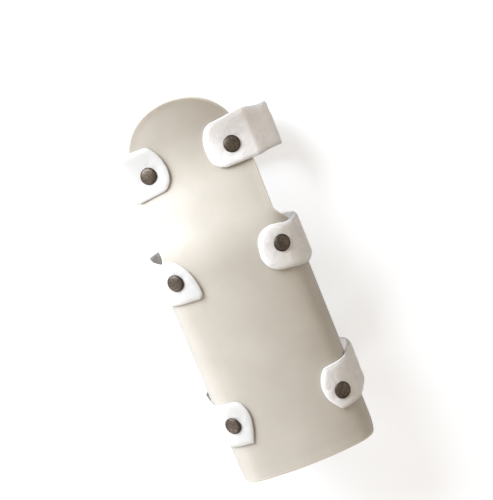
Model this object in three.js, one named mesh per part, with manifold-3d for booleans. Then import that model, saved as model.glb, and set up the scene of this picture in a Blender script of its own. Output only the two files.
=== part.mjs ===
// Volar wrist splint for the right hand: a moulded plate, six double-cap rivets
// and three pairs of hook-and-loop straps, each pair closing round the back of the arm.
// Millimetres. +X is the thumb side, +Y points to the fingers, +Z is the palm side (up).
import * as THREE from 'three';
import Module from 'manifold-3d';

// ---------------------------------------------------------------- driving sizes
const PLATE_THICKNESS = 3;
const PLATE_CROWN_Z = 60;
const TAPE_WIDTH = 25;
const TAPE_THICKNESS = 1.8;
const LAYER_GAP = 0.35;
const RIVET_CAP_DIAMETER = 9;
const RIVET_CAP_HEIGHT = 2.1;
const RIVET_BACK_DIAMETER = 7;
const RIVET_BACK_HEIGHT = 1.8;
const RIVET_POST_DIAMETER = 2.8;
const RIVET_HOLE_DIAMETER = 3.5;
const RIVET_SEAT_GAP = 0.45;
const RIVET_BACK_GAP = 0.95;
const SOCKET_DEPTH = 1;
const SOCKET_END_GAP = 0.3;

// Lengths along the plate's crown line, zero at the wrist rivets, + towards the fingers.
const FOREARM_END_S = -119;
const FOREARM_ROW_S = -85;
const WRIST_ROW_S = 0;
const PALM_ROW_S = 59;
const TIP_S = 93.5;

// Half widths measured along the curved section, and the outline radii.
const TONGUE_HALF = 32.1;
const TONGUE_FLARE = { thumb: 0.8, little: 1.8, start: 66, end: 44 };
const TROUGH_HALF = 50.2;
const END_CORNER_RADIUS = 9;
const THUMB_SHOULDER = { start: 21, end: 3 };
const LITTLE_SHOULDER = { start: 17, end: -6 };

const degrees = (value) => value * Math.PI / 180;

// Crown line beyond the wrist rivets: [length, change of slope]. The hand is cocked back.
const CROWN_BENDS = [
  [21, degrees(-22)],
  [23, 0],
  [30, degrees(32)],
  [19.5, 0],
];

// Forearm trough section from the crown outwards: [radius, sweep]; straight wall after it.
const TROUGH_ARCS = [
  [110, degrees(11)],
  [50, degrees(10)],
  [13, degrees(59)],
];
const TONGUE_RADIUS = 95;
const SECTION_BLEND = { start: 34, end: 8 };
const SECTION_STEP = 0.5;

// ---------------------------------------------------------------- plate surface
const smooth = (value) => {
  const u = Math.min(1, Math.max(0, value));
  return u * u * (3 - 2 * u);
};
const ramp = (s, span) => smooth((span.start - s) / (span.start - span.end));

function crownPoint(s) {
  let y = Math.min(s, 0);
  let z = PLATE_CROWN_Z;
  let slope = 0;
  let left = Math.max(s, 0);
  for (const [length, turn] of CROWN_BENDS) {
    const run = Math.min(left, length);
    const next = slope + turn * run / length;
    if (turn === 0) {
      y += Math.cos(slope) * run;
      z += Math.sin(slope) * run;
    } else {
      const radius = length / turn;
      y += radius * (Math.sin(next) - Math.sin(slope));
      z -= radius * (Math.cos(next) - Math.cos(slope));
    }
    slope = next;
    left -= run;
    if (left <= 0) break;
  }
  return { y, z, slope };
}

function troughAngle(t) {
  let angle = 0;
  let left = t;
  for (const [radius, sweep] of TROUGH_ARCS) {
    const run = Math.min(left, radius * sweep);
    angle += run / radius;
    left -= run;
  }
  return angle;
}

function sectionAngle(s, t) {
  const trough = ramp(s, SECTION_BLEND);
  return trough * troughAngle(t) + (1 - trough) * t / TONGUE_RADIUS;
}

// Sideways position, drop below the crown and tilt of the plate's outer face at (s, t).
function sectionPoint(s, t) {
  const side = t < 0 ? -1 : 1;
  const reach = Math.abs(t);
  const steps = Math.max(1, Math.ceil(reach / SECTION_STEP));
  const step = reach / steps;
  let x = 0;
  let drop = 0;
  for (let i = 0; i < steps; i += 1) {
    const angle = sectionAngle(s, (i + 0.5) * step);
    x += Math.cos(angle) * step;
    drop += Math.sin(angle) * step;
  }
  return { x: side * x, drop, angle: side * sectionAngle(s, reach) };
}

function platePose(s, t) {
  const crown = crownPoint(s);
  const section = sectionPoint(s, t);
  const up = new THREE.Vector3(0, -Math.sin(crown.slope), Math.cos(crown.slope));
  const point = new THREE.Vector3(section.x, crown.y, crown.z).addScaledVector(up, -section.drop);
  const normal = new THREE.Vector3(Math.sin(section.angle), 0, 0);
  normal.addScaledVector(up, Math.cos(section.angle));
  return { point, normal };
}

function platePoint(s, t, height) {
  const { point, normal } = platePose(s, t);
  return point.addScaledVector(normal, height);
}

// Half width of the plate at s on one side, along the curved section.
function plateHalf(s, side) {
  const shoulder = side > 0 ? THUMB_SHOULDER : LITTLE_SHOULDER;
  const flare = side > 0 ? TONGUE_FLARE.thumb : TONGUE_FLARE.little;
  const tongue = TONGUE_HALF + flare * ramp(s, TONGUE_FLARE);
  let half = tongue + (TROUGH_HALF - tongue) * ramp(s, shoulder);
  const intoDome = s - (TIP_S - TONGUE_HALF);
  if (intoDome > 0) {
    half *= Math.sqrt(Math.max(0, 1 - (intoDome / TONGUE_HALF) ** 2));
  }
  const toCorner = END_CORNER_RADIUS - (s - FOREARM_END_S);
  if (toCorner > 0) {
    half -= END_CORNER_RADIUS - Math.sqrt(END_CORNER_RADIUS ** 2 - toCorner ** 2);
  }
  return half;
}

// ---------------------------------------------------------------- solid builders
const tools = await Module();
tools.setup();

// Closed slab between two equal grids of points; top is the side its normals leave from.
function slab(top, bottom) {
  const rows = top.length;
  const columns = top[0].length;
  const positions = [];
  for (const grid of [top, bottom]) {
    for (const row of grid) {
      for (const point of row) positions.push(point.x, point.y, point.z);
    }
  }
  const at = (layer, i, j) => layer * rows * columns + i * columns + j;
  const index = [];
  const quad = (a, b, c, d) => index.push(a, b, c, a, c, d);
  for (let i = 0; i + 1 < rows; i += 1) {
    for (let j = 0; j + 1 < columns; j += 1) {
      quad(at(0, i, j), at(0, i, j + 1), at(0, i + 1, j + 1), at(0, i + 1, j));
      quad(at(1, i, j), at(1, i + 1, j), at(1, i + 1, j + 1), at(1, i, j + 1));
    }
    quad(at(0, i, 0), at(0, i + 1, 0), at(1, i + 1, 0), at(1, i, 0));
    quad(at(0, i, columns - 1), at(1, i, columns - 1), at(1, i + 1, columns - 1), at(0, i + 1, columns - 1));
  }
  for (let j = 0; j + 1 < columns; j += 1) {
    quad(at(0, 0, j), at(1, 0, j), at(1, 0, j + 1), at(0, 0, j + 1));
    quad(at(0, rows - 1, j), at(0, rows - 1, j + 1), at(1, rows - 1, j + 1), at(1, rows - 1, j));
  }
  const geometry = new THREE.BufferGeometry();
  geometry.setAttribute('position', new THREE.Float32BufferAttribute(positions, 3));
  geometry.setIndex(index);
  return geometry;
}

function weld(geometry) {
  const source = geometry.index ? geometry.toNonIndexed() : geometry;
  const array = source.getAttribute('position').array;
  const seen = new Map();
  const positions = [];
  const index = [];
  for (let i = 0; i < array.length; i += 3) {
    const key = [0, 1, 2].map((k) => Math.round(array[i + k] * 1e4)).join(' ');
    if (!seen.has(key)) {
      seen.set(key, positions.length / 3);
      positions.push(array[i], array[i + 1], array[i + 2]);
    }
    index.push(seen.get(key));
  }
  const kept = [];
  for (let i = 0; i < index.length; i += 3) {
    const [a, b, c] = [index[i], index[i + 1], index[i + 2]];
    if (a !== b && b !== c && a !== c) kept.push(a, b, c);
  }
  return { vertProperties: new Float32Array(positions), triVerts: new Uint32Array(kept) };
}

function toSolid(geometry) {
  const { vertProperties, triVerts } = weld(geometry);
  const solid = new tools.Manifold(new tools.Mesh({ numProp: 3, vertProperties, triVerts }));
  if (solid.volume() > 0) return solid;
  // a slab whose rows and columns run the other way round comes out inside out
  triVerts.reverse();
  return new tools.Manifold(new tools.Mesh({ numProp: 3, vertProperties, triVerts }));
}

function toGeometry(solid) {
  const mesh = solid.getMesh();
  const geometry = new THREE.BufferGeometry();
  geometry.setAttribute('position', new THREE.Float32BufferAttribute(mesh.vertProperties, 3));
  geometry.setIndex(new THREE.Uint32BufferAttribute(mesh.triVerts, 1));
  return geometry;
}

function drill(geometry, cutters) {
  let solid = toSolid(geometry);
  for (const cutter of cutters) solid = solid.subtract(toSolid(cutter));
  return toGeometry(solid);
}

// ---------------------------------------------------------------- plate
const SECTION_FRACTIONS = [0, 0.15, 0.3, 0.44, 0.55, 0.62, 0.69, 0.76, 0.83, 0.89, 1];
const DOME_STEPS = 9;
const DOME_LAST_ANGLE = degrees(87);
const CORNER_STEPS = 5;

function plateStations() {
  const stations = [];
  for (let i = 0; i <= CORNER_STEPS; i += 1) {
    const angle = degrees(90) * i / CORNER_STEPS;
    stations.push(FOREARM_END_S + END_CORNER_RADIUS * (1 - Math.cos(angle)));
  }
  stations.push(-88, -64, -40, -20, -8);
  for (let s = -4; s <= 24; s += 3) stations.push(s);
  for (let s = 27; s <= 59; s += 4) stations.push(s);
  for (let i = 0; i <= DOME_STEPS; i += 1) {
    const angle = DOME_LAST_ANGLE * i / DOME_STEPS;
    stations.push(TIP_S - TONGUE_HALF * (1 - Math.sin(angle)));
  }
  return stations;
}

function plateGrid(height) {
  return plateStations().map((s) => {
    const little = SECTION_FRACTIONS.slice(1).reverse().map((f) => -f * plateHalf(s, -1));
    const thumb = SECTION_FRACTIONS.map((f) => f * plateHalf(s, 1));
    return [...little, ...thumb].map((t) => platePoint(s, t, height));
  });
}

// ---------------------------------------------------------------- straps
// A row is one pair of straps: a loop tape on the thumb side, a hook tape on the other.
// Positions t run outwards from the crown; `rivetAhead` and `ahead` set the rivet and the
// tape's centre line towards the fingers of the row; `skew` turns the tape back towards the
// elbow; `fold` is the downward heading, in degrees, that a tape takes up beyond the plate's
// edge before its straight side.
const ROWS = {
  palm: {
    s: PALM_ROW_S,
    edgeT: TONGUE_HALF + TONGUE_FLARE.little,
    outerDepth: 42.48,
    foldRadius: 3,
    hugsEdge: true,
    thumb: {
      rivetT: 24, rivetAhead: 0, freeT: 10.8, endRadius: 10,
      ahead: 2.1, skew: degrees(-2), fold: 46, straight: 12,
    },
    little: {
      rivetT: 23, rivetAhead: 0.3, freeT: 12.8, endRadius: 8,
      ahead: 2.1, skew: degrees(2), fold: 46, straight: 10.5,
    },
  },
  wrist: {
    s: WRIST_ROW_S,
    edgeT: TROUGH_HALF,
    outerDepth: 51,
    foldRadius: 6,
    hugsEdge: false,
    thumb: {
      rivetT: 29.3, rivetAhead: -0.4, freeT: 18, endRadius: 11,
      ahead: -1.8, skew: degrees(9), fold: 80, straight: 7,
    },
    little: {
      rivetT: 30.5, rivetAhead: 0.1, freeT: 19.6, endRadius: 8,
      ahead: 0.3, skew: 0, fold: 80, straight: 7,
    },
  },
  forearm: {
    s: FOREARM_ROW_S,
    edgeT: TROUGH_HALF,
    outerDepth: 60,
    foldRadius: 6,
    hugsEdge: false,
    thumb: {
      rivetT: 30.1, rivetAhead: -2.4, freeT: 20.6, endRadius: 7,
      ahead: 0.5, skew: 0, fold: 80, straight: 13,
    },
    little: {
      rivetT: 31.6, rivetAhead: 0.9, freeT: 21, endRadius: 5,
      ahead: 0.9, skew: 0, fold: 80, straight: 13,
    },
  },
};
const SIDES = { thumb: 1, little: -1 };
const HINGE_BEYOND_EDGE = 1.5;
const TIP_X = -15;
const TIP_CORNER_RADIUS = 5;
const TAPE_HALF = TAPE_THICKNESS / 2;
const TAPE_LIFT = LAYER_GAP + TAPE_HALF;
const LAYER_PITCH = TAPE_THICKNESS + LAYER_GAP;
const HINGE_CLEARANCE = TAPE_HALF + 0.5;
const TURN_STEP = degrees(14);
const TAB_STEP = 2.6;
const TAB_COLUMNS = [-1, -0.5, 0, 0.5, 1];
const RUN_COLUMNS = [-1, 1];
const ROUND_STEPS = 4;
const SETTLE_START = 2;
const SETTLE_LENGTH = 8;

const hingeT = (row) => row.edgeT + HINGE_BEYOND_EDGE;
const edgeShift = (row, strap) => {
  const outward = hingeT(row) - strap.rivetT;
  return strap.ahead - outward * Math.tan(strap.skew);
};

// Point in a row's cross plane: x outwards, depth below the crown, along the arm.
function rowPoint(row, side, x, depth, along) {
  const crown = crownPoint(row.s);
  const forward = new THREE.Vector3(0, Math.cos(crown.slope), Math.sin(crown.slope));
  const up = new THREE.Vector3(0, -Math.sin(crown.slope), Math.cos(crown.slope));
  const point = new THREE.Vector3(side * x, crown.y, crown.z);
  return point.addScaledVector(forward, along).addScaledVector(up, -depth);
}

// How far a rounded end is narrower than the tape at a distance in from its tip.
function endInset(distance, radius) {
  if (distance >= radius) return 0;
  return radius - Math.sqrt(radius ** 2 - (radius - distance) ** 2);
}

function roundedDistances(radius) {
  const distances = [];
  for (let i = 0; i < ROUND_STEPS; i += 1) {
    distances.push(radius * (1 - Math.cos(degrees(90) * i / ROUND_STEPS)));
  }
  return distances;
}

// The riveted end of a tape, lying on the plate from its free end to the plate's edge.
function tabGeometry(row, strap, side) {
  const end = hingeT(row) - HINGE_CLEARANCE;
  const stations = roundedDistances(strap.endRadius).map((d) => strap.freeT + d);
  const first = strap.freeT + strap.endRadius;
  const steps = Math.ceil((end - first) / TAB_STEP);
  for (let i = 0; i <= steps; i += 1) stations.push(first + (end - first) * i / steps);
  const grid = (height) => stations.map((t) => {
    const half = TAPE_WIDTH / 2 - endInset(t - strap.freeT, strap.endRadius);
    const turned = 1 - smooth((t - strap.rivetT) / (hingeT(row) - strap.rivetT));
    const settled = row.hugsEdge ? 0 : smooth((t - strap.rivetT - SETTLE_START) / SETTLE_LENGTH);
    return TAB_COLUMNS.map((fraction) => {
      const across = fraction * half;
      const out = t - strap.rivetT;
      const turnedT = strap.rivetT + out * Math.cos(strap.skew) + across * Math.sin(strap.skew);
      const turnedS = strap.ahead + across * Math.cos(strap.skew) - out * Math.sin(strap.skew);
      const straightS = across + edgeShift(row, strap);
      const tHere = turned * turnedT + (1 - turned) * t;
      const sHere = turned * turnedS + (1 - turned) * straightS;
      const hugging = platePoint(row.s + sHere, side * tHere, height);
      const section = sectionPoint(row.s, tHere);
      const x = section.x + Math.sin(section.angle) * height;
      const depth = section.drop - Math.cos(section.angle) * height;
      return hugging.lerp(rowPoint(row, side, x, depth, sHere), settled);
    });
  });
  return slab(grid(TAPE_LIFT + TAPE_HALF), grid(TAPE_LIFT - TAPE_HALF));
}

// Centre line of a tape beyond the plate's edge: a fold, a straight side, a turn under the
// arm and a flat run behind it. `corner` is where the flat run starts.
function strapPath(row, strap, depthGoal) {
  const edge = sectionPoint(row.s, hingeT(row));
  let x = edge.x + Math.sin(edge.angle) * TAPE_LIFT;
  let depth = edge.drop - Math.cos(edge.angle) * TAPE_LIFT;
  let heading = edge.angle;
  const stations = [{ x, depth, heading }];
  const arc = (radius, goal) => {
    const steps = Math.max(1, Math.ceil(Math.abs(goal - heading) / TURN_STEP));
    const turn = (goal - heading) / steps;
    for (let i = 0; i < steps; i += 1) {
      x += radius * (Math.sin(heading + turn) - Math.sin(heading));
      depth += radius * (Math.cos(heading) - Math.cos(heading + turn));
      heading += turn;
      stations.push({ x, depth, heading });
    }
  };
  arc(row.foldRadius, degrees(strap.fold));
  x += Math.cos(heading) * strap.straight;
  depth += Math.sin(heading) * strap.straight;
  stations.push({ x, depth, heading });
  arc((depthGoal - depth) / (1 + Math.cos(heading)), Math.PI);
  const corner = stations.length - 1;
  stations.push({ x: TIP_X, depth, heading });
  return { stations, corner };
}

const moveOn = (station, distance) => ({
  ...station,
  x: station.x + Math.cos(station.heading) * distance,
  depth: station.depth + Math.sin(station.heading) * distance,
});

// Hinged end of a run: a half-round nose centred on the hinge line.
function noseStations(hinge) {
  const stations = [];
  for (let i = 0; i <= ROUND_STEPS; i += 1) {
    const angle = degrees(90) * i / ROUND_STEPS;
    const half = TAPE_HALF * Math.sin(angle);
    stations.push({ ...moveOn(hinge, -TAPE_HALF * Math.cos(angle)), half });
  }
  return stations;
}

function tipStations(tip) {
  return roundedDistances(TIP_CORNER_RADIUS)
    .map((d) => ({ ...moveOn(tip, -d), inset: endInset(d, TIP_CORNER_RADIUS) }))
    .concat({ ...moveOn(tip, -TIP_CORNER_RADIUS) })
    .reverse();
}

function runGeometry(row, strap, side, stations) {
  const shift = edgeShift(row, strap);
  const grid = (way) => stations.map((station) => {
    const half = way * (station.half ?? TAPE_HALF);
    const x = station.x + Math.sin(station.heading) * half;
    const depth = station.depth - Math.cos(station.heading) * half;
    const width = TAPE_WIDTH / 2 - (station.inset ?? 0);
    return RUN_COLUMNS.map((f) => rowPoint(row, side, x, depth, shift + f * width));
  });
  return slab(grid(1), grid(-1));
}

// ---------------------------------------------------------------- rivets
const RIVET_SEGMENTS = 20;
const CAP_SEAT = LAYER_GAP + TAPE_THICKNESS + RIVET_SEAT_GAP;
const BACK_SEAT = -PLATE_THICKNESS - RIVET_BACK_GAP;

const turned = (profile) => {
  const points = profile.map(([radius, height]) => new THREE.Vector2(radius, height));
  return new THREE.LatheGeometry(points, RIVET_SEGMENTS).rotateX(degrees(90));
};

function capGeometry() {
  const radius = RIVET_CAP_DIAMETER / 2;
  const postEnd = BACK_SEAT - SOCKET_DEPTH + SOCKET_END_GAP;
  const top = CAP_SEAT + RIVET_CAP_HEIGHT;
  return turned([
    [0, postEnd],
    [RIVET_POST_DIAMETER / 2, postEnd],
    [RIVET_POST_DIAMETER / 2, CAP_SEAT],
    [radius, CAP_SEAT],
    [radius, CAP_SEAT + 0.6],
    [radius * 0.84, CAP_SEAT + 1.35],
    [radius * 0.5, top - 0.2],
    [0, top],
  ]);
}

function backGeometry() {
  const radius = RIVET_BACK_DIAMETER / 2;
  const bottom = BACK_SEAT - RIVET_BACK_HEIGHT;
  return turned([
    [0, bottom],
    [radius * 0.55, bottom + 0.15],
    [radius * 0.88, bottom + 0.75],
    [radius, BACK_SEAT - 0.5],
    [radius, BACK_SEAT],
    [RIVET_HOLE_DIAMETER / 2, BACK_SEAT],
    [RIVET_HOLE_DIAMETER / 2, BACK_SEAT - SOCKET_DEPTH],
    [0, BACK_SEAT - SOCKET_DEPTH],
  ]);
}

function drillGeometry() {
  const depth = PLATE_THICKNESS * 4;
  return new THREE.CylinderGeometry(RIVET_HOLE_DIAMETER / 2, RIVET_HOLE_DIAMETER / 2, depth, RIVET_SEGMENTS)
    .rotateX(degrees(90));
}

// Moves geometry made on the origin, axis up, to a rivet's place, square to the plate.
function atRivet(geometry, row, strap, side) {
  const { point, normal } = platePose(row.s + strap.rivetAhead, side * strap.rivetT);
  const turn = new THREE.Quaternion().setFromUnitVectors(new THREE.Vector3(0, 0, 1), normal);
  return geometry.applyQuaternion(turn).translate(point.x, point.y, point.z);
}

// ---------------------------------------------------------------- assembly
const FINISHES = {
  plate: { color: 0xe6e2d8, roughness: 0.42, metalness: 0 },
  hook: { color: 0xf3f3f1, roughness: 0.85, metalness: 0 },
  loop: { color: 0xe9e8e6, roughness: 0.95, metalness: 0 },
  rivet: { color: 0x5b5048, roughness: 0.38, metalness: 0.85 },
};

const splint = new THREE.Group();
splint.name = 'wrist_splint';

function addPart(name, geometry, finish) {
  const solid = toGeometry(toSolid(geometry));
  const mesh = new THREE.Mesh(solid, new THREE.MeshStandardMaterial(FINISHES[finish]));
  mesh.name = name;
  splint.add(mesh);
}

const plateCutters = [];
for (const [rowName, row] of Object.entries(ROWS)) {
  for (const [sideName, side] of Object.entries(SIDES)) {
    const strap = row[sideName];
    const isLoop = sideName === 'thumb';
    const kind = isLoop ? 'loop' : 'hook';
    const label = `${rowName}_${sideName}`;
    const cutter = atRivet(drillGeometry(), row, strap, side);
    plateCutters.push(cutter);
    addPart(`rivet_cap_${label}`, atRivet(capGeometry(), row, strap, side), 'rivet');
    addPart(`rivet_back_${label}`, atRivet(backGeometry(), row, strap, side), 'rivet');
    addPart(`${kind}_strap_tab_${rowName}`, drill(tabGeometry(row, strap, side), [cutter]), kind);

    const outer = row.outerDepth - TAPE_HALF;
    const depth = isLoop ? outer - LAYER_PITCH : outer;
    const path = strapPath(row, strap, depth);
    const nose = noseStations(path.stations[0]);
    const tip = tipStations(path.stations[path.stations.length - 1]);
    if (isLoop) {
      const run = [...nose, ...path.stations.slice(1, -1), ...tip];
      addPart(`loop_strap_run_${rowName}`, runGeometry(row, strap, side, run), kind);
    } else {
      const corner = path.stations[path.corner];
      const near = moveOn(corner, -HINGE_CLEARANCE);
      const sideRun = [...nose, ...path.stations.slice(1, path.corner), near];
      const closure = [...noseStations(corner), ...tip];
      addPart(`hook_strap_side_${rowName}`, runGeometry(row, strap, side, sideRun), kind);
      addPart(`hook_strap_end_${rowName}`, runGeometry(row, strap, side, closure), kind);
    }
  }
}
addPart('moulded_plate', drill(slab(plateGrid(0), plateGrid(-PLATE_THICKNESS)), plateCutters), 'plate');

// The origin is the middle of the part's footprint, at the height it rests on.
const bounds = new THREE.Box3().setFromObject(splint);
const middle = bounds.getCenter(new THREE.Vector3());
for (const mesh of splint.children) {
  mesh.geometry.translate(-middle.x, -middle.y, -bounds.min.z);
}

export default splint;
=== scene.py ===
import cmath
import math
import random

import bmesh
import bpy
import numpy as np
from mathutils import Euler, Matrix, Vector
from mathutils.geometry import delaunay_2d_cdt


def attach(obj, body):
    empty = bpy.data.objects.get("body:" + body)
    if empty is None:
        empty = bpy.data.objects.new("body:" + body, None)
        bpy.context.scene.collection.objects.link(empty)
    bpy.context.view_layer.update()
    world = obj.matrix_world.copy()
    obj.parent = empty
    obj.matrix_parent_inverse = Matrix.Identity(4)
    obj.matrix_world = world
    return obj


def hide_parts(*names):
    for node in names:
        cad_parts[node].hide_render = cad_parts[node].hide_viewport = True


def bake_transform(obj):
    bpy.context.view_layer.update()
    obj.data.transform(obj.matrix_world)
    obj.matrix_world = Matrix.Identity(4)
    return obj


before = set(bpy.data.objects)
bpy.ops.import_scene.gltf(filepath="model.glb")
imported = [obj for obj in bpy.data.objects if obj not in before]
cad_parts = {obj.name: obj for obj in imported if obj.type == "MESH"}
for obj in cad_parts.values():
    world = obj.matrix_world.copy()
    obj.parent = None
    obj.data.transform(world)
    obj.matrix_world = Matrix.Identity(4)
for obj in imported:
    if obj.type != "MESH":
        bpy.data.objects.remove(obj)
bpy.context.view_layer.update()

MM = 0.001
SCENE = bpy.context.scene
WHOLE_TURN = 2 * math.pi

# ------------------------------------------------------------------ camera
# Seen from above the palm side, a little from the fingers' end, fingers up and to the left.
CAMERA_TARGET = Vector((10.03, 14.66, 45.0)) * MM
CAMERA_TURN = Euler((math.radians(-10.47), math.radians(-1.7), math.radians(-21.78)), "XYZ")
CAMERA_DISTANCE = 0.789
SENSOR_WIDTH = 36.0
LENS = 107.87


def add_camera():
    data = bpy.data.cameras.new("camera")
    data.sensor_fit = "HORIZONTAL"
    data.sensor_width = SENSOR_WIDTH
    data.lens = LENS
    data.clip_start = 0.01
    data.clip_end = 20.0
    camera = bpy.data.objects.new("camera", data)
    SCENE.collection.objects.link(camera)
    back = CAMERA_TURN.to_matrix() @ Vector((0, 0, CAMERA_DISTANCE))
    camera.location = CAMERA_TARGET + back
    camera.rotation_euler = CAMERA_TURN
    SCENE.camera = camera


# ------------------------------------------------------------------ the splint's sizes, in mm
# The same plate surface and strap paths as the CAD model: s runs along the crown line from
# the wrist rivets towards the fingers, t outwards round the section.
# The shift brings the middle of the splint's footprint to the origin.
ORIGIN_SHIFT = (-0.25570, 14.02687, 0.0)
CROWN_Z = 60.0
PLATE_THICKNESS = 3.0
# Crown line beyond the wrist rivets: (length, change of slope).
CROWN_BENDS = [
    (21.0, math.radians(-22)),
    (23.0, 0.0),
    (30.0, math.radians(32)),
    (19.5, 0.0),
]
# Trough section from the crown outwards: (radius, sweep), with a straight wall after it.
TROUGH_ARCS = [
    (110.0, math.radians(11)),
    (50.0, math.radians(10)),
    (13.0, math.radians(59)),
]
WALL_REST = 1000.0
TONGUE_RADIUS = 95.0
SECTION_BLEND = (34.0, 8.0)
FOREARM_END_S = -119.0
TIP_S = 93.5
TONGUE_HALF = 32.1
TONGUE_FLARE = {1: 0.8, -1: 1.8}
FLARE_SPAN = (66.0, 44.0)
TROUGH_HALF = 50.2
SHOULDER_SPAN = {1: (21.0, 3.0), -1: (17.0, -6.0)}
END_CORNER_RADIUS = 9.0

TAPE_WIDTH = 25.0
TAPE_THICKNESS = 1.6
CAD_TAPE_THICKNESS = 1.8
# Middle of the tape above the plate, and from one tape to the other where they overlap.
CAD_TAPE_LIFT = 1.25
LAYER_PITCH = 2.15
HINGE_BEYOND_EDGE = 1.5
FAR_TIP_X = -15.0
# Where, outwards from the rivet, a tape stops following the plate and lies straight.
SETTLE_START = 2.0
SETTLE_LENGTH = 8.0


def smooth(value):
    u = min(1.0, max(0.0, value))
    return u * u * (3 - 2 * u)


def ramp(s, span):
    return smooth((span[0] - s) / (span[0] - span[1]))


def advance(x, y, angle, bend, run):
    """One step along a line that turns by bend per mm: the new place and heading."""
    following = angle + bend * run
    if abs(bend) < 1e-9:
        return x + math.cos(angle) * run, y + math.sin(angle) * run, following
    x += (math.sin(following) - math.sin(angle)) / bend
    y += (math.cos(angle) - math.cos(following)) / bend
    return x, y, following


def crown_point(s):
    """The crown line's y, z and slope at s."""
    y, z, slope = min(s, 0.0), CROWN_Z, 0.0
    left = max(s, 0.0)
    for length, turn in CROWN_BENDS:
        run = min(left, length)
        y, z, slope = advance(y, z, slope, turn / length, run)
        left -= run
        if left <= 0:
            break
    return y, z, slope


def section_point(s, t):
    """Sideways position, drop below the crown and tilt of the plate's outer face at (s, t)."""
    side = -1 if t < 0 else 1
    trough = ramp(s, SECTION_BLEND)
    x = drop = angle = 0.0
    left = abs(t)
    arcs = [(radius * sweep, 1 / radius) for radius, sweep in TROUGH_ARCS] + [(WALL_REST, 0.0)]
    for length, trough_bend in arcs:
        bend = trough * trough_bend + (1 - trough) / TONGUE_RADIUS
        run = min(left, length)
        x, drop, angle = advance(x, drop, angle, bend, run)
        left -= run
        if left <= 0:
            break
    return side * x, drop, side * angle


def plate_point(s, t, height):
    """The point at height above the plate's outer face."""
    y, z, slope = crown_point(s)
    x, drop, angle = section_point(s, t)
    up = Vector((0, -math.sin(slope), math.cos(slope)))
    normal = Vector((math.sin(angle), 0, 0)) + up * math.cos(angle)
    return Vector((x, y, z)) - up * drop + normal * height + Vector(ORIGIN_SHIFT)


def plate_normal(s, t):
    return (plate_point(s, t, 1.0) - plate_point(s, t, 0.0)).normalized()


def plate_half(s, side):
    """Half width of the plate at s on one side, measured round the section."""
    tongue = TONGUE_HALF + TONGUE_FLARE[side] * ramp(s, FLARE_SPAN)
    half = tongue + (TROUGH_HALF - tongue) * ramp(s, SHOULDER_SPAN[side])
    into_dome = s - (TIP_S - TONGUE_HALF)
    if into_dome > 0:
        half *= math.sqrt(max(0.0, 1 - (into_dome / TONGUE_HALF) ** 2))
    to_corner = END_CORNER_RADIUS - (s - FOREARM_END_S)
    if to_corner > 0:
        half -= END_CORNER_RADIUS - math.sqrt(END_CORNER_RADIUS ** 2 - to_corner ** 2)
    return half


# ------------------------------------------------------------------ flat outlines
def resample(points, spacing):
    """The closed line through points, with each side split to steps no longer than spacing."""
    loop = []
    for (x0, y0), (x1, y1) in zip(points, points[1:] + points[:1]):
        length = math.hypot(x1 - x0, y1 - y0)
        if length < 1e-4:
            continue
        steps = max(1, math.ceil(length / spacing))
        loop += [(x0 + (x1 - x0) * k / steps, y0 + (y1 - y0) * k / steps) for k in range(steps)]
    return np.array(loop)


def inset(loop, distance, square):
    """A counterclockwise loop moved inwards by distance. The square points are one straight
    side at fixed u, which only shortens."""
    following, previous = np.roll(loop, -1, axis=0), np.roll(loop, 1, axis=0)
    by_square = np.roll(square, -1) & ~square
    following[by_square] = loop[by_square]
    by_square = np.roll(square, 1) & ~square
    previous[by_square] = loop[by_square]
    ahead = following - previous
    ahead /= np.maximum(np.hypot(ahead[:, 0], ahead[:, 1]), 1e-9)[:, None]
    moved = loop + np.c_[-ahead[:, 1], ahead[:, 0]] * distance
    if square.any():
        half = np.abs(loop[square, 1]).max()
        moved[square, 0] = loop[square, 0]
        moved[square, 1] = loop[square, 1] * (1 - distance / half)
    return moved


def distance_to_loop(points, loop):
    """How far each point is from the nearest part of a closed line."""
    steps = np.roll(loop, -1, axis=0) - loop
    lengths2 = np.maximum((steps ** 2).sum(1), 1e-12)
    nearest = np.full(len(points), np.inf)
    for start, step, length2 in zip(loop, steps, lengths2):
        k = np.clip(((points - start) @ step) / length2, 0, 1)
        gap = points - (start + k[:, None] * step)
        nearest = np.minimum(nearest, np.hypot(gap[:, 0], gap[:, 1]))
    return nearest


def inside(points, loop):
    """Which points lie within a closed line: each side crossed flips the answer."""
    hits = np.zeros(len(points), bool)
    x, y = points[:, 0], points[:, 1]
    for (x0, y0), (x1, y1) in zip(loop, np.roll(loop, -1, axis=0)):
        if y0 == y1:
            continue
        crosses = (y0 > y) != (y1 > y)
        hits ^= crosses & (x < (x1 - x0) * (y - y0) / (y1 - y0) + x0)
    return hits


# A rounding may use this much of the side beside it, and below this reach is left sharp.
SIDE_SHARE = 0.49
SHARP_REACH = 0.05


def rounded_polygon(corners, step=0.5):
    """Counterclockwise outline through corners (u, v, radius), each corner rounded."""
    points = []
    count = len(corners)
    for i, (u, v, radius) in enumerate(corners):
        here = complex(u, v)
        to_before = complex(*corners[i - 1][:2]) - here
        to_after = complex(*corners[(i + 1) % count][:2]) - here
        half_angle = abs(cmath.phase(to_before / to_after)) / 2
        longest = SIDE_SHARE * min(abs(to_before), abs(to_after))
        reach = min(radius / math.tan(half_angle), longest)
        if reach < SHARP_REACH:
            points.append((u, v))
            continue
        before, after = to_before / abs(to_before), to_after / abs(to_after)
        middle = here + (before + after) / abs(before + after) * reach / math.cos(half_angle)
        first = here + before * reach - middle
        last = here + after * reach - middle
        sweep = cmath.phase(last / first)
        steps = max(1, math.ceil(abs(sweep) * abs(first) / step))
        for k in range(steps + 1):
            point = middle + first * cmath.exp(1j * sweep * k / steps)
            points.append((point.real, point.imag))
    return points


RIM_STEPS = 3


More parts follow.
